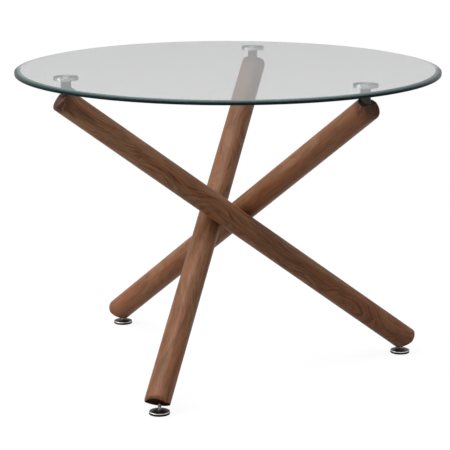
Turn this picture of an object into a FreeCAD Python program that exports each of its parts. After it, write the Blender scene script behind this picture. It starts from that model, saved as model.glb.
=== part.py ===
import FreeCAD, Part
import math
import os
import Sketcher

# Round dining table: a bevelled glass disc carried by three equal round legs.
# The legs lean like a tripod, cross at mid height and are bolted to each other there.
# A steel post and a disc glued under the glass stand on the top of each leg.
# A levelling foot with a screw stands under the bottom of each leg.
# Millimetres, +Z up, origin on the floor under the middle of the glass.
# Everything is worked out for the front leg, whose foot is at -Y and whose top is at +Y.
# The other two legs and their fittings are the same, turned about Z.

SIZES = {
    # Whole table
    "table_height": 762,
    "post_inset": 113.5,          # glass rim to the post, along the leg's plane
    "foot_reach": 455,            # middle to the foot, along the leg's plane
    # Glass
    "glass_diameter": 1060,
    "glass_thickness": 10,
    "bevel_width": 15,
    "bevel_height": 3.5,
    "glass_arris": 0.8,
    # Legs
    "leg_diameter": 62.5,
    "leg_end_rounding": 7,
    "leg_top_overhang": 20,       # leg beyond the post's axis, along the leg
    "leg_foot_overhang": 27,      # leg beyond the foot's axis, along the leg
    "end_cut_slope": 30,          # degrees from level, falling away at the top
    "top_cut_rise": 23,           # cut over the leg's axis, on the post's axis
    "foot_cut_drop": 24.1,        # cut under the leg's axis, on the foot's axis
    "top_seat_rise": 15.5,        # level seat of the post, over the leg's axis
    "foot_seat_rise": 18.7,       # leg's axis, over the underside of the foot's insert
    "crossing_gap": 0.2,
    # Discs and posts under the glass
    "disc_diameter": 60,
    "disc_height": 8,
    "disc_edge": 1,
    "post_diameter": 25,
    "post_height": 32,
    "post_edge": 0.8,
    "post_clearance": 0.1,
    # Bolts and washers
    "bolt_diameter": 8,
    "bolt_tip": 1,
    "hole_clearance": 0.5,
    "thread_clearance": 0.05,
    "head_diameter": 13,
    "head_height": 8,
    "head_edge": 0.6,
    "socket_width": 6,
    "socket_depth": 4,
    "washer_diameter": 16,
    "washer_thickness": 1.6,
    "counterbore_diameter": 20,
    "top_seat_depth": 23.1,       # counterbore, along the bolt from the leg's underside
    "disc_engagement": 5,
    "thread_end_gap": 1,
    # Bolted crossings of the legs
    "crossing_seat_depth": 24,    # counterbore, along the bolt from the leg's surface
    "crossing_engagement": 20,
    "insert_diameter": 12,
    "crossing_insert_length": 24,
    "crossing_insert_recess": 1.5,
    "plug_gap": 1.5,
    "plug_clearance": 0.05,
    # Levelling feet
    "insert_height": 27.4,        # underside of the foot's insert, above the floor
    "foot_insert_length": 20,
    "insert_flange_diameter": 18,
    "insert_flange_thickness": 1.5,
    "insert_clearance": 0.05,
    "foot_diameter": 50,
    "pad_height": 4,
    "pad_edge": 0.6,
    "pad_spigot_height": 2,
    "pad_clearance": 0.1,
    "cup_height": 7,
    "cup_side": 2.5,
    "cup_wall": 1.5,
    "cup_edge": 1,
    "cup_inner_side": 2.2,
    "dome_radius": 40,
    "hub_diameter": 14,
    "flange_diameter": 20,
    "flange_thickness": 2.5,
    "flange_room": 0.3,
    "flange_side_room": 1,
    "screw_spare": 8.6,           # screw above the insert, at rest
    "screw_tip": 1,
    "spanner_width": 6.6,
    "spanner_height": 4,
    "spanner_lift": 0.6,
    "foot_lift": 3.5,             # foot's travel up to the leg, from rest
    "screw_end_gap": 3.5,
    # Cutters
    "overrun": 5,
}

LEG_NAMES = ("front", "right", "left")
TURN = 360 / len(LEG_NAMES)
HEX_SIDES = 6
ORIGIN = FreeCAD.Vector()
UP = FreeCAD.Vector(0, 0, 1)
SIDEWAYS = FreeCAD.Vector(1, 0, 0)
HERE = FreeCAD.Placement()

doc = FreeCAD.newDocument("round_dining_table")
sheet = doc.addObject("Spreadsheet::Sheet", "size")
for row, (alias, number) in enumerate(SIZES.items(), start=1):
    sheet.set(f"A{row}", alias)
    sheet.set(f"B{row}", str(number))
    sheet.setAlias(f"B{row}", alias)
doc.recompute()

# Sizes that follow from the sheet, as expressions on its cells
GLASS_UNDERSIDE = "(size.table_height - size.glass_thickness)"
DISC_UNDERSIDE = f"({GLASS_UNDERSIDE} - size.disc_height)"
POST_SEAT = f"({DISC_UNDERSIDE} - size.post_height)"
AXIS_AT_POST = f"({POST_SEAT} - size.top_seat_rise)"
AXIS_AT_FOOT = "(size.insert_height + size.foot_seat_rise)"
TOP_CUT = f"({AXIS_AT_POST} + size.top_cut_rise)"
FOOT_CUT = f"({AXIS_AT_FOOT} - size.foot_cut_drop)"
POST_REACH = "(size.glass_diameter / 2 - size.post_inset)"
LEG_RUN = f"({POST_REACH} + size.foot_reach)"
LEG_RISE = f"({AXIS_AT_POST} - {AXIS_AT_FOOT})"
LEG_LENGTH = f"(sqrt({LEG_RUN}^2 + {LEG_RISE}^2) + size.leg_top_overhang + size.leg_foot_overhang)"
LEG_RADIUS = "(size.leg_diameter / 2)"
LEG_UNDERSIDE_DROP = f"({LEG_RADIUS} * sqrt({LEG_RUN}^2 + {LEG_RISE}^2) / {LEG_RUN})"
LEG_SPACING = "(size.leg_diameter + size.crossing_gap)"
BOLT_RADIUS = "(size.bolt_diameter / 2)"
HOLE_RADIUS = f"({BOLT_RADIUS} + size.hole_clearance)"
THREAD_RADIUS = f"({BOLT_RADIUS} + size.thread_clearance)"
HEAD_RADIUS = "(size.head_diameter / 2)"
COUNTERBORE_RADIUS = "(size.counterbore_diameter / 2)"
INSERT_RADIUS = "(size.insert_diameter / 2)"
POST_BORE_RADIUS = "(size.post_diameter / 2 + size.post_clearance)"
INSERT_BORE_RADIUS = f"({INSERT_RADIUS} + size.insert_clearance)"
INSERT_FLANGE_RADIUS = "(size.insert_flange_diameter / 2)"
FLANGE_SEAT_RADIUS = f"({INSERT_FLANGE_RADIUS} + size.insert_clearance)"
TOP_BOLT_GRIP = f"(size.top_seat_rise + {LEG_UNDERSIDE_DROP} - size.top_seat_depth)"
TOP_SEAT = f"({POST_SEAT} - {TOP_BOLT_GRIP})"
TOP_BOLT_LENGTH = (f"(size.washer_thickness + {TOP_BOLT_GRIP} + size.post_height"
                   " + size.disc_engagement)")
DISC_THREAD_DEPTH = "(size.disc_engagement + size.thread_end_gap)"
CROSSING_SEAT = f"(size.crossing_seat_depth - {LEG_RADIUS})"
CROSSING_HEAD_FACE = f"({CROSSING_SEAT} - size.washer_thickness)"
CROSSING_INSERT_FACE = f"({LEG_RADIUS} + size.crossing_gap + size.crossing_insert_recess)"
CROSSING_BOLT_LENGTH = f"({CROSSING_INSERT_FACE} + size.crossing_engagement - {CROSSING_HEAD_FACE})"
PLUG_LENGTH = ("(size.crossing_seat_depth - size.washer_thickness - size.head_height - size.plug_gap)")
SPIGOT_TOP = "(size.pad_height + size.pad_spigot_height)"
CUP_CEILING = (f"({SPIGOT_TOP} + size.flange_thickness + size.flange_room - size.pad_height)")
INSERT_TOP = "(size.insert_height + size.foot_insert_length)"
SCREW_LENGTH = f"({INSERT_TOP} + size.screw_spare - {SPIGOT_TOP})"
FOOT_BORE_LENGTH = ("(size.foot_insert_length + size.screw_spare + size.foot_lift"
                    " + size.screw_end_gap)")
CUT_BLOCK = "(2 * size.leg_diameter)"


def value(expression):
    """Number that an expression on the sheet gives."""
    return float(sheet.evalExpression(expression))


def bind(feature, **properties):
    """Tie a feature's properties to expressions on the sheet."""
    for name, expression in properties.items():
        feature.setExpression(name, expression)
    return feature


def new_body(label):
    """Empty body with the name that its node takes."""
    body = doc.addObject("PartDesign::Body", label)
    body.Label = label
    return body


def cylinder(body, kind, radius, length, place=HERE):
    """Additive or Subtractive cylinder along its placement's Z."""
    feature = body.newObject(f"PartDesign::{kind}Cylinder", f"{body.Label}_cylinder")
    feature.Placement = place
    return bind(feature, Radius=radius, Height=length)


def remove_box(body, length, width, height, place):
    """Cut a box whose corner is at its placement."""
    feature = body.newObject("PartDesign::SubtractiveBox", f"{body.Label}_box")
    feature.Placement = place
    return bind(feature, Length=length, Width=width, Height=height)


def ring_edges(feature, radius, height):
    """Names of the round edges of that radius and height about the body's own Z axis."""
    doc.recompute()
    names = []
    near = value("size.overrun") / 1000
    for index, edge in enumerate(feature.Shape.Edges, start=1):
        if not isinstance(edge.Curve, Part.Circle):
            continue
        place = edge.Curve.Center
        off = math.hypot(place.x, place.y)
        same_ring = abs(edge.Curve.Radius - radius) < near and off < near
        if same_ring and abs(place.z - height) < near:
            names.append(f"Edge{index}")
    return names


def round_edges(body, base, edges, radius):
    """Fillet named edges of the last feature."""
    feature = body.newObject("PartDesign::Fillet", f"{body.Label}_round")
    feature.Base = (base, edges)
    return bind(feature, Radius=radius)


def bevel_edges(body, base, edges, size):
    """Chamfer named edges of the last feature."""
    feature = body.newObject("PartDesign::Chamfer", f"{body.Label}_chamfer")
    feature.Base = (base, edges)
    return bind(feature, Size=size)


def arc_between(start, end, radius):
    """Arc from start to end that bulges to the right of the way between them."""
    way = end - start
    middle = (start + end) / 2
    left = FreeCAD.Vector(-way.y, way.x, 0).normalize()
    centre = middle + left * math.sqrt(radius**2 - (way.Length / 2) ** 2)
    return Part.Arc(start, centre - left * radius, end)


def turned(label, outline):
    """Body turned about its own Z axis from a closed outline, drawn anticlockwise.

    The outline's points are (radius, height) expressions. A third one is the radius of an arc,
    bulging outwards, that goes from that point to the next in place of a straight line.
    """
    body = new_body(label)
    plane = next(f for f in body.Origin.OriginFeatures if f.Role == "XZ_Plane")
    sketch = body.newObject("Sketcher::SketchObject", f"{label}_outline")
    sketch.AttachmentSupport = (plane, [""])
    sketch.MapMode = "FlatFace"
    points = [FreeCAD.Vector(value(p[0]), value(p[1]), 0) for p in outline]
    for index, point in enumerate(outline):
        start, end = points[index], points[(index + 1) % len(points)]
        if len(point) > 2:
            sketch.addGeometry(arc_between(start, end, value(point[2])))
        else:
            sketch.addGeometry(Part.LineSegment(start, end))
    for index, point in enumerate(outline):
        following = (index + 1) % len(outline)
        sketch.addConstraint(Sketcher.Constraint("Coincident", index, 2, following, 1))
        for axis, kind, expression in ((-2, "DistanceX", point[0]), (-1, "DistanceY", point[1])):
            number = value(expression)
            if number == 0:
                sketch.addConstraint(Sketcher.Constraint("PointOnObject", index, 1, axis))
                continue
            place = sketch.addConstraint(Sketcher.Constraint(kind, -1, 1, index, 1, number))
            sketch.setExpression(f"Constraints[{place}]", expression)
        if len(point) > 2:
            place = sketch.addConstraint(Sketcher.Constraint("Radius", index, value(point[2])))
            sketch.setExpression(f"Constraints[{place}]", point[2])
    revolution = body.newObject("PartDesign::Revolution", f"{label}_turning")
    revolution.Profile = sketch
    revolution.ReferenceAxis = (sketch, ["V_Axis"])
    return body


def along(point, direction):
    """Placement at a point, with Z turned to a direction."""
    return FreeCAD.Placement(point, FreeCAD.Rotation(UP, direction))


def about_z(index):
    """Turn that takes the front leg to the leg of that number."""
    return FreeCAD.Placement(ORIGIN, FreeCAD.Rotation(UP, TURN * index))


# The front leg's axis, from the foot to the post, both in one upright plane beside the middle
leg_run = value(LEG_RUN)
leg_rise = value(LEG_RISE)
crossing_share = math.sqrt((1 + (leg_run / leg_rise) ** 2 / 4) / 3)
plane_offset = value(LEG_SPACING) * crossing_share
foot_point = FreeCAD.Vector(-plane_offset, -value("size.foot_reach"), value(AXIS_AT_FOOT))
post_point = FreeCAD.Vector(-plane_offset, value(POST_REACH), value(AXIS_AT_POST))
lean = (post_point - foot_point).normalize()
leg_place = along(foot_point - lean * value("size.leg_foot_overhang"), lean)

# Where the front leg's axis comes nearest to the axis of the leg that its own bolt goes into
next_leg = FreeCAD.Rotation(UP, TURN)
across = lean.cross(next_leg.multVec(lean))
between = next_leg.multVec(foot_point) - foot_point
crossing_shift = between.cross(next_leg.multVec(lean)).dot(across) / across.Length**2
crossing_point = foot_point + lean * crossing_shift
bolt_way = across.normalize()


def standing(reach, height):
    """Upright placement in the front leg's plane."""
    return FreeCAD.Placement(FreeCAD.Vector(-plane_offset, reach, height), FreeCAD.Rotation())


def on_bolt(start):
    """Placement on the front leg's crossing bolt, a length along it from the leg's axis."""
    return along(crossing_point + bolt_way * value(start), bolt_way)


def post_place(height):
    """Upright placement on the post's axis."""
    return standing(value(POST_REACH), value(height))


def foot_place(height):
    """Upright placement on the foot's axis."""
    return standing(-value("size.foot_reach"), value(height))


def glass_top():
    """Round glass with a wide bevel round its upper edge."""
    radius = "(size.glass_diameter / 2)"
    thickness = "size.glass_thickness"
    outline = [
        ("0", "0"),
        (f"{radius} - size.glass_arris", "0"),
        (radius, "size.glass_arris"),
        (radius, f"{thickness} - size.bevel_height"),
        (f"{radius} - size.bevel_width", thickness),
        ("0", thickness),
    ]
    body = turned("glass_top", outline)
    body.Placement = FreeCAD.Placement(UP * value(GLASS_UNDERSIDE), FreeCAD.Rotation())


def leg(label):
    """Round leg with rounded ends cut on a slope, level seats, and bores for its fittings."""
    body = new_body(label)
    stock = cylinder(body, "Additive", LEG_RADIUS, LEG_LENGTH)
    ends = ring_edges(stock, value(LEG_RADIUS), value(LEG_LENGTH))
    ends += ring_edges(stock, value(LEG_RADIUS), 0)
    round_edges(body, stock, ends, "size.leg_end_rounding")
    in_leg = leg_place.inverse()
    block_corner = FreeCAD.Vector(-value(CUT_BLOCK) / 2, -value(CUT_BLOCK) / 2, 0)
    above = FreeCAD.Placement(block_corner, FreeCAD.Rotation())
    below = FreeCAD.Placement(block_corner - UP * value(CUT_BLOCK), FreeCAD.Rotation())
    slope = FreeCAD.Placement(ORIGIN, FreeCAD.Rotation(SIDEWAYS, -value("size.end_cut_slope")))
    for place in (post_place(TOP_CUT) * slope * above, foot_place(FOOT_CUT) * slope * below):
        remove_box(body, CUT_BLOCK, CUT_BLOCK, CUT_BLOCK, in_leg * place)

    bolt_hole = f"({TOP_BOLT_GRIP} + 2 * size.overrun)"
    flange_seat = f"(size.insert_height + size.insert_flange_thickness - {CUT_BLOCK})"
    bores = [
        (POST_BORE_RADIUS, CUT_BLOCK, post_place(POST_SEAT)),
        (HOLE_RADIUS, bolt_hole, post_place(f"{TOP_SEAT} - size.overrun")),
        (COUNTERBORE_RADIUS, CUT_BLOCK, post_place(f"{TOP_SEAT} - {CUT_BLOCK}")),
        (HOLE_RADIUS, FOOT_BORE_LENGTH, foot_place("size.insert_height")),
        (INSERT_BORE_RADIUS, "size.foot_insert_length", foot_place("size.insert_height")),
        (FLANGE_SEAT_RADIUS, CUT_BLOCK, foot_place(flange_seat)),
        (HOLE_RADIUS, "size.leg_diameter", on_bolt(CROSSING_SEAT)),
        (COUNTERBORE_RADIUS, CUT_BLOCK, on_bolt(f"{CROSSING_SEAT} - {CUT_BLOCK}")),
    ]
    from_last_leg = about_z(-1)
    tap_drill = f"({LEG_SPACING} - {CROSSING_INSERT_FACE} + size.thread_end_gap)"
    insert_bore = "(size.crossing_insert_length + size.crossing_insert_recess + size.overrun)"
    insert_start = f"({CROSSING_INSERT_FACE} - size.crossing_insert_recess - size.overrun)"
    bores += [
        (INSERT_BORE_RADIUS, insert_bore, from_last_leg * on_bolt(insert_start)),
        (HOLE_RADIUS, tap_drill, from_last_leg * on_bolt(CROSSING_INSERT_FACE)),
    ]
    for radius, length, place in bores:
        cylinder(body, "Subtractive", radius, length, in_leg * place)
    return body, leg_place


def glass_disc(label):
    """Flat steel disc under the glass, tapped from below for the top bolt."""
    body = new_body(label)
    radius = "(size.disc_diameter / 2)"
    disc = cylinder(body, "Additive", radius, "size.disc_height")
    rims = ring_edges(disc, value(radius), 0) + ring_edges(disc, value(radius), value("size.disc_height"))
    round_edges(body, disc, rims, "size.disc_edge")
    cylinder(body, "Subtractive", THREAD_RADIUS, DISC_THREAD_DEPTH)
    return body, post_place(DISC_UNDERSIDE)


def post(label):
    """Steel sleeve that the top bolt goes through, from its seat in the leg to the disc."""
    body = new_body(label)
    radius = "(size.post_diameter / 2)"
    sleeve = cylinder(body, "Additive", radius, "size.post_height")
    rims = ring_edges(sleeve, value(radius), 0)
    rims += ring_edges(sleeve, value(radius), value("size.post_height"))
    bevel_edges(body, sleeve, rims, "size.post_edge")
    cylinder(body, "Subtractive", HOLE_RADIUS, "size.post_height")
    return body, post_place(POST_SEAT)


def socket_bolt(label, length):
    """Bolt from z = 0 under its head upwards, with a hexagon socket in the head."""
    outline = [
        ("0", "0"),
        (f"{HEAD_RADIUS} - size.head_edge", "0"),
        (HEAD_RADIUS, "size.head_edge"),
        (HEAD_RADIUS, "size.head_height"),
        (BOLT_RADIUS, "size.head_height"),
        (BOLT_RADIUS, f"size.head_height + {length} - size.bolt_tip"),
        (f"{BOLT_RADIUS} - size.bolt_tip", f"size.head_height + {length}"),
        ("0", f"size.head_height + {length}"),
    ]
    body = turned(label, outline)
    socket = body.newObject("PartDesign::SubtractivePrism", f"{label}_socket")
    socket.Polygon = HEX_SIDES
    bind(socket, Circumradius="size.socket_width / sqrt(3)", Height="size.socket_depth")
    return body


def washer(label):
    """Flat washer."""
    body = new_body(label)
    cylinder(body, "Additive", "size.washer_diameter / 2", "size.washer_thickness")
    cylinder(body, "Subtractive", HOLE_RADIUS, "size.washer_thickness")
    return body


def top_bolt(label):
    """Bolt from the counterbore under the leg up into the disc."""
    body = socket_bolt(label, TOP_BOLT_LENGTH)
    return body, post_place(f"{TOP_SEAT} - size.washer_thickness - size.head_height")


def top_washer(label):
    """Washer between the top bolt's head and the leg."""
    return washer(label), post_place(f"{TOP_SEAT} - size.washer_thickness")


def foot_insert(label):
    """Threaded insert with a flange, in a level seat under the leg."""
    outline = [
        (THREAD_RADIUS, "0"),
        (INSERT_FLANGE_RADIUS, "0"),
        (INSERT_FLANGE_RADIUS, "size.insert_flange_thickness"),
        (INSERT_RADIUS, "size.insert_flange_thickness"),
        (INSERT_RADIUS, "size.foot_insert_length"),
        (THREAD_RADIUS, "size.foot_insert_length"),
    ]
    return turned(label, outline), foot_place("size.insert_height")


def levelling_screw(label):
    """Foot's screw: a flange held in the cup, two spanner flats and a stem up into the leg."""
    flange_radius = "(size.flange_diameter / 2)"
    outline = [
        ("0", "0"),
        (flange_radius, "0"),
        (flange_radius, "size.flange_thickness"),
        (BOLT_RADIUS, "size.flange_thickness"),
        (BOLT_RADIUS, f"{SCREW_LENGTH} - size.screw_tip"),
        (f"{BOLT_RADIUS} - size.screw_tip", SCREW_LENGTH),
        ("0", SCREW_LENGTH),
    ]
    body = turned(label, outline)
    flats_start = value("size.pad_height + size.cup_height + size.spanner_lift") - value(SPIGOT_TOP)
    corner = FreeCAD.Vector(value("size.spanner_width") / 2, -value("size.bolt_diameter") / 2, flats_start)
    for half_turn in (0, 180):
        place = FreeCAD.Placement(ORIGIN, FreeCAD.Rotation(UP, half_turn))
        place *= FreeCAD.Placement(corner, FreeCAD.Rotation())
        remove_box(body, "size.bolt_diameter", "size.bolt_diameter", "size.spanner_height", place)
    return body, foot_place(SPIGOT_TOP)


def foot_cup(label):
    """Domed shell over the foot, with a running hole for the screw."""
    radius = "(size.foot_diameter / 2)"
    inner = f"({radius} - size.cup_wall)"
    pocket = "(size.flange_diameter / 2 + size.flange_side_room)"
    outline = [
        (inner, "0"),
        (radius, "0"),
        (radius, "size.cup_side", "size.dome_radius"),
        ("size.hub_diameter / 2", "size.cup_height"),
        (THREAD_RADIUS, "size.cup_height"),
        (THREAD_RADIUS, CUP_CEILING),
        (pocket, CUP_CEILING),
        (inner, "size.cup_inner_side"),
    ]
    body = turned(label, outline)
    doc.recompute()
    shell = body.Tip
    shoulder = ring_edges(shell, value(radius), value("size.cup_side"))
    round_edges(body, shell, shoulder, "size.cup_edge")
    return body, foot_place("size.pad_height")


def foot_pad(label):
    """Plastic pad that closes the cup from below and carries the screw's flange."""
    radius = "(size.foot_diameter / 2)"
    spigot = f"({radius} - size.cup_wall - size.pad_clearance)"
    outline = [
        ("0", "0"),
        (f"{radius} - size.pad_edge", "0"),
        (radius, "size.pad_edge"),
        (radius, "size.pad_height"),
        (spigot, "size.pad_height"),
        (spigot, SPIGOT_TOP),
        ("0", SPIGOT_TOP),
    ]
    return turned(label, outline), foot_place("0")


def crossing_bolt(label):
    """Bolt through this leg into the insert of the next one."""
    body = socket_bolt(label, CROSSING_BOLT_LENGTH)
    return body, on_bolt(f"{CROSSING_HEAD_FACE} - size.head_height")


def crossing_washer(label):
    """Washer between the crossing bolt's head and the leg."""
    return washer(label), on_bolt(CROSSING_HEAD_FACE)


def crossing_insert(label):
    """Threaded insert in the next leg for this leg's crossing bolt."""
    body = new_body(label)
    cylinder(body, "Additive", INSERT_RADIUS, "size.crossing_insert_length")
    cylinder(body, "Subtractive", THREAD_RADIUS, "size.crossing_insert_length")
    return body, on_bolt(CROSSING_INSERT_FACE)


def leg_plug(label, start, length):
    """Wooden plug in a bolt's counterbore, its outer face flush with the round leg."""
    stick = doc.addObject("Part::Cylinder", f"{label}_stick")
    bind(stick, Radius=f"{COUNTERBORE_RADIUS} - size.plug_clearance", Height=length)
    stick.Placement = start
    surface = doc.addObject("Part::Cylinder", f"{label}_surface")
    bind(surface, Radius=LEG_RADIUS, Height=LEG_LENGTH)
    surface.Placement = leg_place
    plug = doc.addObject("Part::Common", label)
    plug.Label = label
    plug.Base = stick
    plug.Tool = surface
    return plug, HERE


def crossing_plug(label):
    """Plug over the crossing bolt's head."""
    return leg_plug(label, on_bolt(f"-{LEG_RADIUS} - size.overrun"), f"{PLUG_LENGTH} + size.overrun")


def top_plug(label):
    """Plug under the top bolt's head."""
    start = f"{TOP_SEAT} - {CUT_BLOCK}"
    length = f"{CUT_BLOCK} - size.washer_thickness - size.head_height - size.plug_gap"
    return leg_plug(label, post_place(start), length)


FITTINGS = {
    "leg": leg,
    "glass_disc": glass_disc,
    "post": post,
    "top_bolt": top_bolt,
    "top_washer": top_washer,
    "top_plug": top_plug,
    "foot_insert": foot_insert,
    "levelling_screw": levelling_screw,
    "foot_cup": foot_cup,
    "foot_pad": foot_pad,
    "crossing_bolt": crossing_bolt,
    "crossing_washer": crossing_washer,
    "crossing_insert": crossing_insert,
    "crossing_plug": crossing_plug,
}

glass_top()
labels = ["glass_top"]
for number, side in enumerate(LEG_NAMES):
    for fitting, make in FITTINGS.items():
        piece, front_place = make(f"{side}_{fitting}")
        piece.Placement = about_z(number) * front_place
        labels.append(piece.Label)
doc.recompute()

failed = [item.Label for item in doc.Objects if {"Invalid", "Error"} & set(item.State)]
if failed:
    raise RuntimeError(f"failed objects: {failed}")
pieces = {label: doc.getObjectsByLabel(label)[0].Shape for label in labels}
for label, shape in pieces.items():
    if shape.isNull() or not shape.isValid() or len(shape.Solids) != 1:
        raise RuntimeError(f"bad solid: {label}")

os.makedirs("parts", exist_ok=True)
for label, shape in pieces.items():
    shape.exportStep(f"parts/{label}.step")
    print(f"{label}: {shape.Volume / 1000:.2f} cm3")
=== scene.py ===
import math

import bpy
import numpy as np
from mathutils import Matrix, Vector


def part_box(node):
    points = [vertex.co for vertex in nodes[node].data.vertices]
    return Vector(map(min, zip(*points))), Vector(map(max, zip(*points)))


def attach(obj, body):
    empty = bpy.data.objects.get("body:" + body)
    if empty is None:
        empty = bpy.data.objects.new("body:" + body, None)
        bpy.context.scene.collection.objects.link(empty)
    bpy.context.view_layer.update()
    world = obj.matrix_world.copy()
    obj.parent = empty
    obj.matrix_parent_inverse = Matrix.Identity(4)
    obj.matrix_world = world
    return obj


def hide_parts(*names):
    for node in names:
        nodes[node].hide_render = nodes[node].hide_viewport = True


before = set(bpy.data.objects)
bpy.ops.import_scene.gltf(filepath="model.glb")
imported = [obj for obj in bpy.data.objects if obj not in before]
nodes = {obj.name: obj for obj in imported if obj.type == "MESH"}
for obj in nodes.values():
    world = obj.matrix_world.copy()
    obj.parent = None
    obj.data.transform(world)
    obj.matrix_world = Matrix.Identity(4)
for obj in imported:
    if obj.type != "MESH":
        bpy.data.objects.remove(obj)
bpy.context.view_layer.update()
MM = 0.001
FULL_TURN = 2 * math.pi
SIDES = ("front", "right", "left")

# Camera of the photograph: degrees about the table's own axis, metres, and millimetres of lens
CAMERA_AZIMUTH = 15.17
CAMERA_DISTANCE = 4.610
CAMERA_HEIGHT = 1.417
CAMERA_PITCH = 12.93
CAMERA_YAW = 0.09
CAMERA_LENS = 148.9
CAMERA_SENSOR = 36

# Stage: soft boxes with their place and power, the floor, and the brightness of the studio
LAMPS = {
    "left_softbox": ((-5.0, -2.8, 3.9), 300),
    "top_softbox": ((-0.6, -0.4, 6.4), 190),
}
LAMP_AIM = (0, 0, 0.4)
LAMP_SIZE = 4.0
FLOOR_HALF_WIDTH = 60.0
FLOOR_SEEN = (0.92, 0.92, 0.92, 1)
FLOOR_BOUNCED = (0.46, 0.46, 0.46, 1)
FLOOR_CLEARNESS = 0.88
SHADOW_FADE = (0.6, 3.0)
STUDIO_GREY = 0.49
CEILING_GAIN = 1.1
CEILING_FADE = (0.35, 0.8)
LIGHT_FROM_BELOW = 0.16
LIGHT_GAIN_ABOVE = 0.30
WHITE = (1, 1, 1, 1)

# Legs, sized as the solids are
AXIS_ABOVE_INSERT = 18.7 * MM
AXIS_BELOW_POST = 15.5 * MM
TOP_CUT_RISE = 23.0 * MM
FOOT_CUT_DROP = 24.1 * MM
TOP_OVERHANG = 20.0 * MM
FOOT_OVERHANG = 27.0 * MM
CUT_SLOPE = math.radians(30)

# Walnut: where each leg lay in its log, as the pith's place across the leg's axis, how far the
# pith sways, a number that sets the leg's noises apart, and the strength of its dark figure
CUTS = {
    "front": ((0.036, 0.024), 0.13, 1.3, 0.50),
    "right": ((-0.020, 0.046), 0.17, 4.7, 0.62),
    "left": ((0.046, -0.018), 0.08, 8.2, 0.22),
}
RING_WIDTH = 5.8 * MM
SLOW_BEND = 30 * MM
QUICK_BEND = 16 * MM
RED_FOOT_LENGTH = 0.35
# Painted shade below each leg's top, under the glass and disc: how far back from the end it starts and
# where it is full
TOP_SHADE_FADE = (36 * MM, 6 * MM)
CUT_SKIN = 0.4 * MM
# How dark each cut end is painted: partly stain drunk by the end grain, partly painted shade
TOP_CUT_STAIN_AND_SHADE = 0.75
FOOT_CUT_STAIN_AND_SHADE = 0.97
TOP_SQUARE_STAIN_AND_SHADE = 0.45
# Painted shade: a dark arch on the square end of each foot, over the sloped cut
SHADED_ARCH_RISE = 5.0 * MM
SHADED_ARCH_HALF_WIDTH = 26 * MM
SHADED_ARCH_BLUR = 0.8 * MM
GRAIN_DEPTH = 0.06 * MM
WOOD_BROWN = (0.205, 0.088, 0.044, 1)
WOOD_PALE = (0.290, 0.146, 0.074, 1)
RED_STREAK = (0.240, 0.076, 0.030, 1)
RED_FOOT = (0.265, 0.096, 0.045, 1)
BROWN_CLOUD = (0.100, 0.050, 0.026, 1)
LATE_RED = (0.092, 0.034, 0.017, 1)
LATE_OLIVE = (0.074, 0.048, 0.025, 1)
DARK_FLECK = (0.078, 0.034, 0.019, 1)
RED_FLECK = (0.285, 0.098, 0.040, 1)
PALE_STREAK = (0.320, 0.172, 0.090, 1)
PORE_BROWN = (0.055, 0.022, 0.012, 1)
# Colour of the painted shade below the top of each leg
TOP_PAINTED_SHADE = (0.075, 0.029, 0.018, 1)
# Colour of the cut ends: end-grain stain and painted shade
END_STAIN_AND_SHADE = (0.014, 0.007, 0.005, 1)

# Glass top
BEVEL_WIDTH = 15 * MM
BEVEL_HEIGHT = 3.5 * MM
ARRIS = 0.8 * MM
ROUNDINGS = (0.3 * MM, 0.3 * MM, 0.8 * MM, 0.6 * MM)
GLASS_LIFT = 0.05 * MM
GLASS_SEGMENTS = 512
GLASS_IOR = 1.52
RIM_FADE = (1.2 * MM, 0.5 * MM)
BEVEL_BLUR = 0.5 * MM
BEVEL_LOW = (4 * MM, 5 * MM)
PALE_GREEN = (0.26, 0.43, 0.40, 1)
MID_GREEN_SHADE = (0.030, 0.090, 0.090, 1)
DEEP_GREEN_SHADE = (0.003, 0.012, 0.013, 1)
GLASS_SHADOW = (0.91, 0.93, 0.93, 1)
GLASS_BODY = (0.50, 0.80, 0.78, 1)
GLASS_DENSITY = 1.5

# Metal and plastic: each pair is the clean colour and the worn or grooved one
POST_STEEL = ((0.060, 0.056, 0.053, 1), (0.0516, 0.04816, 0.04558, 1))
POST_GROOVE_WIDTH = 0.4 * MM
POST_GROOVE_DEPTH = 0.008 * MM
DISC_FACE = ((0.28, 0.31, 0.305, 1), (0.19, 0.22, 0.215, 1))
# Painted light: the disc's side wall is coloured brighter than its face, for the light it catches
DISC_WALL_PAINTED_LIGHT = (0.66, 0.70, 0.69, 1)
DISC_WALL_LIGHT_FADE = (0.5 * MM, 0.2 * MM)
DISC_GLANCE = (0.02, 0.02, 0.02, 1)
QUARTER_TURN = 0.25
CHROME = ((0.56, 0.56, 0.57, 1), (0.46, 0.46, 0.47, 1))
CUP_BLACK = ((0.016, 0.013, 0.012, 1), (0.028, 0.023, 0.021, 1))
CUP_BAND = ((0.74, 0.71, 0.68, 1), (0.62, 0.59, 0.57, 1))
BAND_FOOT = (1.3 * MM, 1.6 * MM)
BAND_TOP = (2.8 * MM, 3.2 * MM)
ZINC = ((0.56, 0.57, 0.60, 1), (0.47, 0.48, 0.49, 1))
PLASTIC = ((0.012, 0.012, 0.013, 1), (0.030, 0.030, 0.031, 1))
PLASTIC_GRAIN_DEPTH = 0.03 * MM
ZINC_PIECES = (
    "top_bolt",
    "top_washer",
    "foot_insert",
    "crossing_bolt",
    "crossing_washer",
    "crossing_insert",
)

# Levelling screw
FLANGE_HEIGHT = 2.5 * MM
SHANK_RADIUS = 4.0 * MM
PITCH = 1.25 * MM
THREAD_DEPTH = 0.68 * MM
GROOVE_FLOOR = 1.35
GROOVE_SLOPE = 3.2
TIP_HEIGHT = 1.0 * MM
FLATS_LIFT = 0.6 * MM
FLATS_HEIGHT = 4.0 * MM
FLATS_HALF_WIDTH = 3.3 * MM
THREAD_LIFT = 0.8 * MM
STEP_HEIGHT = 0.02 * MM
ROWS_TO_A_PITCH = 8
SCREW_SEGMENTS = 48

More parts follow.
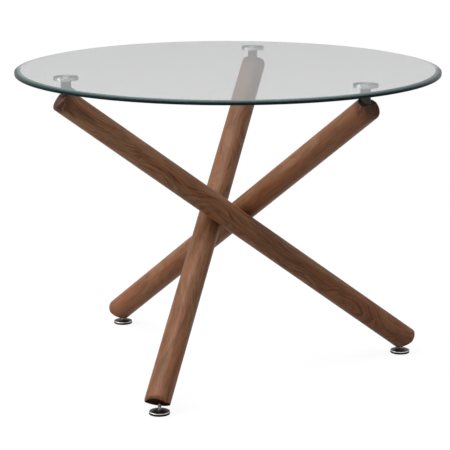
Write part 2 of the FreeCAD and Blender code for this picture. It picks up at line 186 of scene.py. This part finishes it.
# Foot cup
DOME_RADIUS = 40 * MM
HUB_RADIUS = 7 * MM
CUP_WALL_HEIGHT = 2.5 * MM
CUP_CEILING = 4.8 * MM
CUP_WALL = 1.5 * MM
CUP_EDGE = 0.15 * MM
SHOULDER_DROP = 0.9 * MM
SCREW_HOLE_RADIUS = 4.05 * MM
CEILING_RADIUS = 11 * MM
INNER_WALL_HEIGHT = 2.2 * MM
DOME_STEPS = 25
SHOULDER_STEPS = 9
CUP_SEGMENTS = 128


class Shade:
    """One socket of a node tree. Its arithmetic adds Math nodes, and node() adds any other node."""

    def __init__(self, tree, socket=None):
        self.tree = tree
        self.socket = socket

    def node(self, kind, settings=None, inputs=None, output=0):
        """Add a node: its settings first, then a value or a Shade for each named socket."""
        made = self.tree.nodes.new(kind)
        for name, value in (settings or {}).items():
            setattr(made, name, value)
        for name, value in (inputs or {}).items():
            self.feed(made.inputs[name], value)
        return Shade(self.tree, made.outputs[output]) if made.outputs else made

    def feed(self, socket, value):
        """Link a Shade to a socket, or set the socket's own value."""
        if isinstance(value, Shade):
            self.tree.links.new(value.socket, socket)
        else:
            socket.default_value = value

    def out(self, name):
        """Another output of the node that this socket belongs to."""
        return Shade(self.tree, self.socket.node.outputs[name])

    def math(self, operation, *values):
        return self.node("ShaderNodeMath", {"operation": operation}, dict(enumerate(values)))

    def __add__(self, other):
        return self.math("ADD", self, other)

    def __radd__(self, other):
        return self.math("ADD", other, self)

    def __sub__(self, other):
        return self.math("SUBTRACT", self, other)

    def __rsub__(self, other):
        return self.math("SUBTRACT", other, self)

    def __mul__(self, other):
        return self.math("MULTIPLY", self, other)

    def __rmul__(self, other):
        return self.math("MULTIPLY", other, self)

    def __truediv__(self, other):
        return self.math("DIVIDE", self, other)

    def __pow__(self, other):
        return self.math("POWER", self, other)

    def larger(self, other):
        return self.math("MAXIMUM", self, other)

    def smooth(self, low, high):
        """0 below low, 1 above high, and a smooth step between them."""
        inputs = {"Value": self, "From Min": low, "From Max": high}
        return self.node("ShaderNodeMapRange", {"interpolation_type": "SMOOTHSTEP"}, inputs)

    def blend(self, first, second):
        """Mix two colours with this socket as the factor."""
        settings = {"data_type": "RGBA", "clamp_factor": True}
        return self.node("ShaderNodeMix", settings, {0: self, 6: first, 7: second}, output=2)

    def noise(self, vector, scale, detail, roughness):
        """Noise between 0 and 1 on a vector, scale in waves to the vector's unit."""
        inputs = {"Vector": vector, "Scale": scale, "Detail": detail, "Roughness": roughness}
        return self.node("ShaderNodeTexNoise", {"noise_dimensions": "3D"}, inputs)

    def stretch(self, vector, scale):
        """A vector times a scale on each axis."""
        return self.node("ShaderNodeVectorMath", {"operation": "MULTIPLY"}, {0: vector, 1: scale})

    def parts(self, vector):
        """X, Y and Z of a vector."""
        split = self.node("ShaderNodeSeparateXYZ", None, {0: vector})
        return split, split.out("Y"), split.out("Z")

    def joined(self, x=0.0, y=0.0, z=0.0):
        """Vector of three values."""
        return self.node("ShaderNodeCombineXYZ", None, {0: x, 1: y, 2: z})

    def bump(self, height, distance, strength=1.0, width=0.1):
        """Normal for a height between 0 and 1 over a distance in metres, felt over part of a pixel."""
        inputs = {
            "Height": height,
            "Distance": distance,
            "Strength": strength,
            "Filter Width": width,
        }
        return self.node("ShaderNodeBump", None, inputs)

    def principled(self, inputs):
        return self.node("ShaderNodeBsdfPrincipled", None, inputs)

    def mixed(self, factor, first, second):
        """Mix two shaders."""
        return self.node("ShaderNodeMixShader", None, {0: factor, 1: first, 2: second})

    def finish(self, shader, **body):
        """End a material with its shader, and with the body inside it if it is clear."""
        self.node("ShaderNodeOutputMaterial", None, {"Surface": shader, **body})


def new_material(name):
    """Empty node material and the Shade that starts its tree."""
    material = bpy.data.materials.new(name)
    material.use_nodes = True
    material.node_tree.nodes.clear()
    return material, Shade(material.node_tree)


def object_coordinates(start):
    return start.node("ShaderNodeTexCoord", output=3)


def in_frame(start, matrix):
    """Object coordinates turned and moved into a piece's own frame."""
    place, turn, _ = matrix.decompose()
    inputs = {"Vector": object_coordinates(start), "Location": place, "Rotation": turn.to_euler()}
    return start.node("ShaderNodeMapping", {"vector_type": "TEXTURE"}, inputs)


def about_upright(start, centre):
    """Radius about the upright axis through a point, and height over that point."""
    x, y, height = start.parts(in_frame(start, Matrix.Translation(centre)))
    return (x**2 + y**2) ** 0.5, height


def middle(node):
    low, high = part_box(node)
    return (low + high) / 2


def half_width(node):
    low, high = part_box(node)
    return (high.x - low.x) / 2


def leg_ends(side):
    """The leg's axis over its foot and under its post."""
    foot = middle(f"{side}_foot_pad")
    foot.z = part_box(f"{side}_foot_insert")[0].z + AXIS_ABOVE_INSERT
    top = middle(f"{side}_post")
    top.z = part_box(f"{side}_post")[0].z - AXIS_BELOW_POST
    return foot, top


def leg_frame(side):
    """Frame on a leg's axis at its foot, with Z along the leg."""
    foot, top = leg_ends(side)
    turn = (top - foot).to_track_quat("Z", "Y").to_matrix().to_4x4()
    return Matrix.Translation(foot) @ turn


def cut_heights(start, side):
    """Distance of a point beyond each of the leg's sloped end cuts, in metres."""
    foot, top = leg_ends(side)
    outward = top - foot
    outward.z = 0
    square = outward.normalized() * math.sin(CUT_SLOPE) + Vector((0, 0, math.cos(CUT_SLOPE)))
    turn = square.to_track_quat("Z", "Y").to_matrix().to_4x4()
    top_cut = Matrix.Translation(top + Vector((0, 0, TOP_CUT_RISE))) @ turn
    foot_cut = Matrix.Translation(foot - Vector((0, 0, FOOT_CUT_DROP))) @ turn
    beyond_top = start.parts(in_frame(start, top_cut))[2]
    beyond_foot = start.parts(in_frame(start, foot_cut))[2]
    return beyond_top, -1 * beyond_foot


def end_stain_and_shade(start, side, across, along, top_end):
    """How dark an end is painted: the sloped cuts and what is left of the square ends. The darkness is
    partly the stain that end grain drinks and partly painted shade where the ends face away from the
    light.

    The shaded arch is painted shade on the square foot end, a parabola over the sloped cut.
    """
    beyond_top, beyond_foot = cut_heights(start, side)
    top_cut = beyond_top.smooth(-CUT_SKIN, -CUT_SKIN / 2) * TOP_CUT_STAIN_AND_SHADE
    foot_cut = beyond_foot.smooth(-CUT_SKIN, -CUT_SKIN / 2) * FOOT_CUT_STAIN_AND_SHADE
    top_square = along.smooth(top_end - CUT_SKIN, top_end - CUT_SKIN / 2) * TOP_SQUARE_STAIN_AND_SHADE
    # Painted shade: the lower arch of the square foot end is darkened
    shaded_arch = SHADED_ARCH_RISE * (1 - (across / SHADED_ARCH_HALF_WIDTH) ** 2) + beyond_foot
    foot_square = (-1 * along).smooth(FOOT_OVERHANG - CUT_SKIN, FOOT_OVERHANG - CUT_SKIN / 2)
    foot_square = foot_square * (0.15 + 0.8 * shaded_arch.smooth(-SHADED_ARCH_BLUR, SHADED_ARCH_BLUR))
    return top_cut.larger(foot_cut).larger(top_square.larger(foot_square))


def walnut(side, pith, sway, seed, figure):
    """Turned walnut cut from a log: growth rings about a pith line that sways across the leg's axis.

    The ring number is the distance from the pith line over the ring width, bent by slow noise, so
    the rings run out of the turned surface in arches. Each ring has a tone and flecks of its own.
    Streaks, clouds and pores are noises stretched along the grain. The wood is redder towards the
    foot. Near the top it is darkened, mottled by the flecks: painted shade for the shade under the
    glass and the disc. The cut ends are darkened too, partly by the stain that end grain drinks and
    partly by painted shade.
    """
    material, start = new_material(f"walnut_{side}_leg")
    grain = in_frame(start, leg_frame(side))
    x, y, along = start.parts(grain)

    def drawn_out(pace, scale, detail, roughness):
        """Noise whose pace along the leg is a share of its pace across."""
        return start.noise(start.stretch(grain, (1, 1, pace)), scale, detail, roughness)

    bend = drawn_out(pace=0.30, scale=14 + seed, detail=2, roughness=0.5) - 0.5
    wave = drawn_out(pace=0.55, scale=34 + seed, detail=3, roughness=0.55) - 0.5
    sway_x = start.noise(start.joined(x=seed, z=along), scale=2.6, detail=1, roughness=0.5) - 0.5
    sway_y = start.noise(start.joined(y=seed, z=along), scale=3.4, detail=1, roughness=0.5) - 0.5
    from_pith_x = x + sway_x * sway - pith[0] + bend * SLOW_BEND
    from_pith_y = y + sway_y * sway - pith[1] + wave * QUICK_BEND
    rings = (from_pith_x**2 + from_pith_y**2) ** 0.5 / RING_WIDTH + seed
    step = rings.math("FRACT", rings)
    late_wood = step.smooth(0.30, 0.92) * (1 - step.smooth(0.93, 1.0))

    def by_ring(per_ring, per_metre, detail, roughness):
        """Noise that changes from ring to ring and along the leg."""
        place = start.joined(rings * per_ring, along * per_metre, seed)
        return start.noise(place, scale=1.0, detail=detail, roughness=roughness)

    ring_tone = by_ring(per_ring=0.45, per_metre=1.6, detail=1, roughness=0.5)
    fleck = by_ring(per_ring=1.9, per_metre=16, detail=3, roughness=0.65)
    streak_wide = drawn_out(pace=0.05, scale=70, detail=3, roughness=0.6)
    streak_fine = drawn_out(pace=0.014, scale=420, detail=2, roughness=0.6)
    pores = drawn_out(pace=0.03, scale=1500, detail=1, roughness=0.5).smooth(0.6, 0.72)
    patch = drawn_out(pace=0.22, scale=26 + seed, detail=2, roughness=0.55)
    cloud = drawn_out(pace=0.28, scale=38 + seed, detail=3, roughness=0.6)
    clear_rings = drawn_out(pace=0.35, scale=17 + seed, detail=1, roughness=0.5).smooth(0.4, 0.62)
    late_shown = late_wood * (0.25 + 0.75 * clear_rings)
    late_tone = patch.smooth(0.4, 0.62).blend(LATE_RED, LATE_OLIVE)
    near_foot = (1 - along.smooth(0.0, RED_FOOT_LENGTH)) * streak_wide.smooth(0.25, 0.55)

    base = ring_tone.smooth(0.3, 0.7).blend(WOOD_BROWN, WOOD_PALE)
    # Each layer: where it lies, how strongly it shows, its colour
    layers = (
        (streak_wide.smooth(0.45, 0.66), 0.8, RED_STREAK),
        (near_foot, 0.6, RED_FOOT),
        (cloud.smooth(0.5, 0.66), 0.75 * figure, BROWN_CLOUD),
        (late_shown, figure, late_tone),
        (fleck.smooth(0.5, 0.68), 1.2 * figure, DARK_FLECK),
        ((1 - fleck).smooth(0.53, 0.7), 0.55, RED_FLECK),
        (streak_fine.smooth(0.5, 0.75), 0.35, PALE_STREAK),
        (pores, 0.5, PORE_BROWN),
    )
    for mask, strength, colour in layers:
        base = (mask * strength).blend(base, colour)

    foot, top = leg_ends(side)
    top_end = (top - foot).length + TOP_OVERHANG
    # Painted shade: the last few centimetres below the top are darkened, mottled by the flecks, for
    # the shade under the glass and the disc
    shaded_top = along.smooth(*(top_end - reach for reach in TOP_SHADE_FADE))
    base = (shaded_top * (0.45 + 0.5 * fleck.smooth(0.4, 0.6))).blend(base, TOP_PAINTED_SHADE)
    # Cut ends darkened: partly end-grain stain, partly painted shade
    stained_and_shaded_ends = end_stain_and_shade(start, side, x, along, top_end)
    base = stained_and_shaded_ends.blend(base, END_STAIN_AND_SHADE)

    relief = 0.6 - pores * 0.5 - late_wood * 0.10
    lacquered = start.principled({
        "Base Color": base,
        "Roughness": 0.31 + streak_fine * 0.08 + pores * 0.12,
        "Normal": start.bump(relief, GRAIN_DEPTH),
        "Specular IOR Level": 0.14,
    })
    dry = start.principled({
        "Base Color": base,
        "Roughness": 0.6 + pores * 0.2,
        "Specular IOR Level": 0.0,
    })
    start.finish(start.mixed(stained_and_shaded_ends, lacquered, dry))
    return material


def clear_glass():
    """Polished float glass: colourless through its thickness, and deep green at its edge.

    Light that enters the rim runs the whole width of the glass, so the rim and part of the bevel
    are painted a dark green: partly the green of the glass's body, partly painted shade for the light
    lost inside the glass, the same all round the edge.
    """
    material, start = new_material("clear_float_glass")
    dust = start.noise(object_coordinates(start), scale=40, detail=3, roughness=0.6)
    under = middle("glass_top")
    under.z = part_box("glass_top")[0].z
    radius, height = about_upright(start, under)
    edge = half_width("glass_top")
    bevel_start = edge - BEVEL_WIDTH
    rim = radius.smooth(*(edge - reach for reach in RIM_FADE))
    bevel = radius.smooth(bevel_start - BEVEL_BLUR, bevel_start + BEVEL_BLUR)
    bevel = bevel * height.smooth(*BEVEL_LOW)
    # Painted shade on the bevel: darker green towards the rim
    deep = radius.smooth(edge - 0.95 * BEVEL_WIDTH, edge - 0.05 * BEVEL_WIDTH)
    green = deep.smooth(0.0, 0.5).blend(PALE_GREEN, MID_GREEN_SHADE)
    green = deep.smooth(0.36, 0.86).blend(green, DEEP_GREEN_SHADE)
    clear = start.principled({
        "Base Color": WHITE,
        "Roughness": dust.smooth(0.4, 0.9) * 0.004,
        "IOR": GLASS_IOR,
        "Transmission Weight": 1.0,
    })
    body = start.principled({
        "Base Color": green,
        "Roughness": 0.04 + dust * 0.04,
        "Specular IOR Level": 0.08,
    })
    # Share of the painted green and shade on the bevel and rim
    edge_shade_share = (bevel * (0.25 + 0.65 * deep)).larger(rim * 0.95)
    seen = start.mixed(edge_shade_share, clear, body)
    shadow = start.node("ShaderNodeBsdfTransparent", None, {"Color": GLASS_SHADOW})
    lit_through = start.node("ShaderNodeLightPath").out("Is Shadow Ray")
    inputs = {"Color": GLASS_BODY, "Density": GLASS_DENSITY}
    absorbed = start.node("ShaderNodeVolumeAbsorption", None, inputs)
    start.finish(start.mixed(lit_through, seen, shadow), Volume=absorbed)
    return material


def satin_steel(name, piece):
    """Dark steel turned on a lathe: fine grooves about an upright axis, dulled by cloudy wear."""
    material, start = new_material(name)
    radius, height = about_upright(start, middle(piece))
    lines = start.joined(x=radius, z=height)
    rings = start.noise(lines, scale=1 / POST_GROOVE_WIDTH, detail=2, roughness=0.6)
    wear = start.noise(object_coordinates(start), scale=90, detail=3, roughness=0.6)
    start.finish(start.principled({
        "Base Color": (wear.smooth(0.35, 0.75) * 0.6).blend(*POST_STEEL),
        "Metallic": 1.0,
        "Roughness": 0.30 + wear * 0.08 + rings * 0.06,
        "Normal": start.bump(rings, POST_GROOVE_DEPTH, width=0.005),
    }))
    return material


def faced_steel(name, piece):
    """Steel faced on a lathe: its round grooves draw each highlight out into two opposite sectors."""
    material, start = new_material(name)
    radius, height = about_upright(start, middle(piece))
    lines = start.joined(x=radius, z=height)
    rings = start.noise(lines, scale=1700, detail=2, roughness=0.6)
    edge = half_width(piece)
    # Painted light: the outer edge of the disc is given a brighter colour than the face
    wall = radius.smooth(*(edge - reach for reach in DISC_WALL_LIGHT_FADE))
    face = rings.smooth(0.3, 0.7).blend(*DISC_FACE)
    start.finish(start.principled({
        "Base Color": wall.blend(face, DISC_WALL_PAINTED_LIGHT),
        "Metallic": 1.0,
        "Roughness": 0.48 + rings * 0.10,
        "Specular Tint": DISC_GLANCE,
        "Anisotropic": 1.0,
        "Anisotropic Rotation": QUARTER_TURN,
    }))
    return material


def bright_chrome():
    """Chrome plate: near mirror, with faint wiping marks."""
    material, start = new_material("bright_chrome")
    wiped = start.stretch(object_coordinates(start), (1, 1, 3))
    marks = start.noise(wiped, scale=260, detail=3, roughness=0.65)
    start.finish(start.principled({
        "Base Color": marks.smooth(0.3, 0.8).blend(*CHROME),
        "Metallic": 1.0,
        "Roughness": 0.05 + marks.smooth(0.45, 0.8) * 0.07,
    }))
    return material


def black_chrome(piece):
    """Foot cup: a black shell with a bright turned band round its shoulder."""
    material, start = new_material("black_chrome")
    place = object_coordinates(start)
    height = start.parts(place)[2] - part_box(piece)[0].z
    band = height.smooth(*BAND_FOOT) * (1 - height.smooth(*BAND_TOP))
    marks = start.noise(place, scale=420, detail=3, roughness=0.65)
    bright = marks.smooth(0.3, 0.8).blend(*CUP_BAND)
    dark = marks.smooth(0.4, 0.8).blend(*CUP_BLACK)
    start.finish(start.principled({
        "Base Color": band.blend(dark, bright),
        "Metallic": band,
        "Roughness": 0.30 + band * 0.08 + marks * 0.08,
        "Specular IOR Level": 0.4,
    }))
    return material


def zinc_plate():
    """Zinc-plated hardware: pale grey with a spangled, slightly blue passivation."""
    material, start = new_material("zinc_plate")
    spangle = start.noise(object_coordinates(start), scale=700, detail=3, roughness=0.6)
    start.finish(start.principled({
        "Base Color": spangle.smooth(0.35, 0.7).blend(*ZINC),
        "Metallic": 1.0,
        "Roughness": 0.28 + spangle * 0.16,
    }))
    return material


def moulded_plastic():
    """Black moulded plastic with a fine spark-eroded grain."""
    material, start = new_material("black_moulded_plastic")
    grain = start.noise(object_coordinates(start), scale=2600, detail=2, roughness=0.6)
    scuff = start.noise(object_coordinates(start), scale=180, detail=3, roughness=0.6)
    start.finish(start.principled({
        "Base Color": scuff.smooth(0.5, 0.8).blend(*PLASTIC),
        "Roughness": 0.42 + grain * 0.18,
        "Normal": start.bump(grain, PLASTIC_GRAIN_DEPTH, strength=0.5),
        "Specular IOR Level": 0.25,
    }))
    return material


def put_mesh(name, points, faces, smooth=True):
    """Mesh object at the origin from arrays of points and faces."""
    mesh = bpy.data.meshes.new(name)
    mesh.from_pydata(points.tolist(), [], [tuple(f) for f in faces])
    mesh.polygons.foreach_set("use_smooth", np.full(len(mesh.polygons), smooth))
    mesh.update()
    piece = bpy.data.objects.new(name, mesh)
    bpy.context.scene.collection.objects.link(piece)
    return piece


def rounded_outline(corners, radii, steps=6):
    """Outline through corners, each rounded by an arc that touches both its sides.

    The arc's centre lies on the corner's bisector at radius / sin(half angle), and its points
    run evenly over the turn from one side's normal to the other's. A point half a radius before
    and after each arc keeps the flat faces' shading flat.
    """
    corners = np.array(corners, float)
    points = [corners[0]]
    for before, corner, after, radius in zip(corners, corners[1:], corners[2:], radii):
        back = (before - corner) / np.linalg.norm(before - corner)
        ahead = (after - corner) / np.linalg.norm(after - corner)
        half = math.acos(np.clip(back @ ahead, -1, 1)) / 2
        bisector = (back + ahead) / np.linalg.norm(back + ahead)
        centre = corner + bisector * radius / math.sin(half)
        start = corner + back * radius / math.tan(half) - centre
        end = corner + ahead * radius / math.tan(half) - centre
        turn = math.pi - 2 * half
        share = np.linspace(0, 1, steps)[:, None]
        arc = (np.sin((1 - share) * turn) * start + np.sin(share * turn) * end) / math.sin(turn)
        margin = radius / 2
        points += [centre + start + back * margin, *(centre + arc), centre + end + ahead * margin]
    return np.array(points + [corners[-1]])


def ring_quads(count, segments, closed=False):
    """Faces between each ring of points and the next, and from the last to the first if closed."""
    grid = np.arange(count * segments).reshape(count, segments)
    ahead = np.roll(grid, -1, axis=0)
    quads = np.stack([grid, np.roll(grid, -1, axis=1), np.roll(ahead, -1, axis=1), ahead], -1)
    return (quads if closed else quads[:-1]).reshape(-1, 4)


def closed_tube(name, rows, centre):
    """Closed surface through rows of points, each row a closed ring, ended by fans on the axis."""
    count, segments = rows.shape[:2]
    ends = [(centre.x, centre.y, rows[0, 0, 2]), (centre.x, centre.y, rows[-1, 0, 2])]
    points = np.concatenate([rows.reshape(-1, 3), ends])
    first_ring = np.arange(segments)
    last_ring = first_ring + (count - 1) * segments
    start_point = np.full(segments, count * segments)
    start_fan = np.stack([start_point, np.roll(first_ring, -1), first_ring], -1)
    end_fan = np.stack([start_point + 1, last_ring, np.roll(last_ring, -1)], -1)
    return put_mesh(name, points, [*ring_quads(count, segments), *start_fan, *end_fan])


def ring_angles(segments):
    return np.linspace(0, FULL_TURN, segments, endpoint=False)


def about_axis(radii, heights, angles, centre):
    """Points about an upright axis: a height for each row, and a radius for it or for each angle."""
    x = radii * np.cos(angles) + centre.x
    y = radii * np.sin(angles) + centre.y
    z = np.broadcast_to(heights[:, None], x.shape)
    return np.stack([x, y, z], -1)


def polished_glass():
    """Glass top with its bevel and small polished arrises, its underside a hair above the discs."""
    low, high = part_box("glass_top")
    radius = half_width("glass_top")
    under = low.z + GLASS_LIFT
    corners = [
        (0, under),
        (radius - ARRIS, under),
        (radius, low.z + ARRIS),
        (radius, high.z - BEVEL_HEIGHT),
        (radius - BEVEL_WIDTH, high.z),
        (0, high.z),
    ]
    outline = rounded_outline(corners, ROUNDINGS)[1:-1]
    centre = middle("glass_top")
    rows = about_axis(outline[:, :1], outline[:, 1], ring_angles(GLASS_SEGMENTS), centre)
    return closed_tube("glass_top_polished", rows, centre)


def threaded_screw(side, turn):
    """Levelling screw: flange, plain neck with two spanner flats, and a right-hand thread.

    Along the thread the radius falls from crest to root as a clipped triangle wave of
    height / pitch - angle / full turn. On the flats it is cut to half the width over the cosine.
    """
    name = f"{side}_levelling_screw"
    low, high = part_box(name)
    flange_top = low.z + FLANGE_HEIGHT
    tip_low = high.z - TIP_HEIGHT
    flats_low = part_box(f"{side}_foot_cup")[1].z + FLATS_LIFT
    flats_high = flats_low + FLATS_HEIGHT
    thread_low = flats_high + THREAD_LIFT
    heights = np.concatenate([
        [low.z, flange_top, flange_top],
        [flats_low, flats_low + STEP_HEIGHT, flats_high, flats_high + STEP_HEIGHT],
        np.arange(thread_low, tip_low, PITCH / ROWS_TO_A_PITCH),
        [tip_low, high.z],
    ])
    limits = np.full(len(heights), SHANK_RADIUS)
    limits[:2] = half_width(name)
    limits[-1] = SHANK_RADIUS - TIP_HEIGHT
    angles = ring_angles(SCREW_SEGMENTS)
    phase = np.mod(heights[:, None] / PITCH - angles / FULL_TURN, 1.0)
    groove = THREAD_DEPTH * np.clip(GROOVE_FLOOR - GROOVE_SLOPE * np.abs(phase - 0.5), 0, 1)
    threaded = ((heights >= thread_low) & (heights < high.z))[:, None]
    radii = limits[:, None] - np.where(threaded, groove, 0)
    half_step = STEP_HEIGHT / 2
    on_flats = ((heights > flats_low + half_step) & (heights < flats_high + half_step))[:, None]
    across = FLATS_HALF_WIDTH / np.maximum(np.abs(np.cos(angles - turn)), 1e-6)
    radii = np.where(on_flats, np.minimum(radii, across), radii)
    centre = middle(name)
    return closed_tube(f"{name}_threaded", about_axis(radii, heights, angles, centre), centre)


def foot_cup(side):
    """Foot's domed shell: wall, rounded shoulder, dome, hole for the screw, and the hollow under it.

    The outline closes on itself and is turned about the foot's axis. The shoulder is a quadratic
    curve pulled to the corner of wall and dome. The dome is an arc of DOME_RADIUS from the wall's
    top to the hub, found from its chord.
    """
    name = f"{side}_foot_cup"
    low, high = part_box(name)
    outer = half_width(name)
    height = high.z - low.z
    wall_top = np.array((outer, CUP_WALL_HEIGHT))
    hub = np.array((HUB_RADIUS, height))
    chord = hub - wall_top
    along = chord / np.linalg.norm(chord)
    square = np.array((along[1], -along[0]))
    half_angle = math.asin(np.linalg.norm(chord) / 2 / DOME_RADIUS)
    dome_centre = (wall_top + hub) / 2 - square * DOME_RADIUS * math.cos(half_angle)
    # The dome's first two points give way to the shoulder
    swing = np.linspace(-half_angle, half_angle, DOME_STEPS)[2:, None]
    dome = dome_centre + DOME_RADIUS * (np.cos(swing) * square + np.sin(swing) * along)
    shoulder_foot = wall_top - (0, SHOULDER_DROP)
    share = np.linspace(0, 1, SHOULDER_STEPS)[:-1, None]
    pull = 2 * share * (1 - share)
    shoulder = (1 - share) ** 2 * shoulder_foot + pull * wall_top + share**2 * dome[0]
    inner = outer - CUP_WALL
    loop = np.concatenate([
        [(inner + CUP_EDGE, 0), (outer - CUP_EDGE, 0), (outer, CUP_EDGE), (outer, 3 * CUP_EDGE)],
        shoulder,
        dome,
        [(HUB_RADIUS - CUP_EDGE, height), (SCREW_HOLE_RADIUS + CUP_EDGE, height)],
        [(SCREW_HOLE_RADIUS, height - CUP_EDGE), (SCREW_HOLE_RADIUS, CUP_CEILING)],
        [(CEILING_RADIUS, CUP_CEILING), (inner, INNER_WALL_HEIGHT), (inner, CUP_EDGE)],
    ])
    rows = about_axis(loop[:, :1], loop[:, 1] + low.z, ring_angles(CUP_SEGMENTS), middle(name))
    quads = ring_quads(len(loop), CUP_SEGMENTS, closed=True)
    return put_mesh(f"{name}_turned", rows.reshape(-1, 3), quads)


def dress(material, *names):
    """Give CAD nodes a finish."""
    for name in names:
        mesh = nodes[name].data
        mesh.materials.clear()
        mesh.materials.append(material)


def white_floor():
    """Pale floor that keeps a little of the table's shadow.

    Most of what is seen on it is the white behind it, so a foot that is screwed down past it
    still shows.
    """
    low, high = -FLOOR_HALF_WIDTH, FLOOR_HALF_WIDTH
    corners = np.array([(low, low, 0), (high, low, 0), (high, high, 0), (low, high, 0)])
    floor = put_mesh("floor", corners, [(0, 1, 2, 3)], smooth=False)
    material, start = new_material("pale_floor")
    gathered = start.node("ShaderNodeLightPath").out("Is Diffuse Ray")
    colour = gathered.blend(FLOOR_SEEN, FLOOR_BOUNCED)
    diffuse = start.node("ShaderNodeBsdfDiffuse", None, {"Color": colour})
    clear = start.node("ShaderNodeBsdfTransparent", None, {"Color": WHITE})
    x, y, _ = start.parts(object_coordinates(start))
    away = ((x**2 + y**2) ** 0.5).smooth(*SHADOW_FADE)
    share = (1 - gathered) * (FLOOR_CLEARNESS + (1 - FLOOR_CLEARNESS) * away)
    start.finish(start.mixed(share, diffuse, clear))
    floor.data.materials.append(material)


def studio_world():
    """White behind the table.

    Polished pieces mirror a grey studio with a bright ceiling, and the light gathered from it is
    weaker.
    """
    world = bpy.data.worlds.new("studio")
    bpy.context.scene.world = world
    world.use_nodes = True
    world.node_tree.nodes.clear()
    start = Shade(world.node_tree)
    height = start.parts(start.node("ShaderNodeTexCoord", output=0))[2]
    path = start.node("ShaderNodeLightPath")
    mirrored = path.math("GREATER_THAN", path.out("Glossy Depth"), 0.5)
    seen = 1 - mirrored * (1 - STUDIO_GREY - CEILING_GAIN * height.smooth(*CEILING_FADE))
    light = LIGHT_FROM_BELOW + LIGHT_GAIN_ABOVE * height.smooth(0.0, 1.0)
    gathered = path.out("Is Diffuse Ray")
    strength = gathered * light + (1 - gathered) * seen
    shader = start.node("ShaderNodeBackground", None, {"Color": WHITE, "Strength": strength})
    start.node("ShaderNodeOutputWorld", None, {"Surface": shader})


def soft_lamp(name, place, power):
    """Square soft box at a place, turned to the table."""
    lamp = bpy.data.lights.new(name, "AREA")
    lamp.energy = power
    lamp.size = LAMP_SIZE
    lamp_object = bpy.data.objects.new(name, lamp)
    lamp_object.location = place
    look = Vector(LAMP_AIM) - Vector(place)
    lamp_object.rotation_euler = look.to_track_quat("-Z", "Y").to_euler()
    bpy.context.scene.collection.objects.link(lamp_object)


def photo_camera():
    """Camera of the photograph: on its azimuth, looking down at the table."""
    turn = Matrix.Rotation(math.radians(CAMERA_AZIMUTH), 3, "Z")
    yaw = Matrix.Rotation(math.radians(CAMERA_YAW), 3, "Z")
    pitch = math.radians(CAMERA_PITCH)
    look = turn @ yaw @ Vector((0, math.cos(pitch), -math.sin(pitch)))
    data = bpy.data.cameras.new("photo_camera")
    data.sensor_width = CAMERA_SENSOR
    data.lens = CAMERA_LENS
    camera = bpy.data.objects.new("photo_camera", data)
    camera.location = turn @ Vector((0, -CAMERA_DISTANCE, CAMERA_HEIGHT))
    camera.rotation_euler = look.to_track_quat("-Z", "Y").to_euler()
    bpy.context.scene.collection.objects.link(camera)
    bpy.context.scene.camera = camera


# Pieces
glass = polished_glass()
glass.data.materials.append(clear_glass())
# The legs gather their light as if the glass weren't over them
glass.visible_diffuse = False
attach(glass, "table")
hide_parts("glass_top")

chrome = bright_chrome()
zinc = zinc_plate()
plastic = moulded_plastic()
cup_finish = black_chrome("front_foot_cup")
for number, side in enumerate(SIDES):
    wood = walnut(side, *CUTS[side])
    dress(wood, f"{side}_leg", f"{side}_crossing_plug", f"{side}_top_plug")
    disc = f"{side}_glass_disc"
    dress(faced_steel(f"polished_steel_{side}", disc), disc)
    post = f"{side}_post"
    dress(satin_steel(f"satin_steel_{side}", post), post)
    cup = foot_cup(side)
    cup.data.materials.append(cup_finish)
    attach(cup, f"{side}_foot_base")
    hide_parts(f"{side}_foot_cup")
    dress(plastic, f"{side}_foot_pad")
    dress(zinc, *(f"{side}_{piece}" for piece in ZINC_PIECES))
    screw = threaded_screw(side, number * FULL_TURN / len(SIDES))
    screw.data.materials.append(chrome)
    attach(screw, f"{side}_foot_screw")
    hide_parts(f"{side}_levelling_screw")

# Stage
white_floor()
studio_world()
for name, (place, power) in LAMPS.items():
    soft_lamp(name, place, power)
photo_camera()
bpy.context.scene.view_settings.view_transform = "Standard"
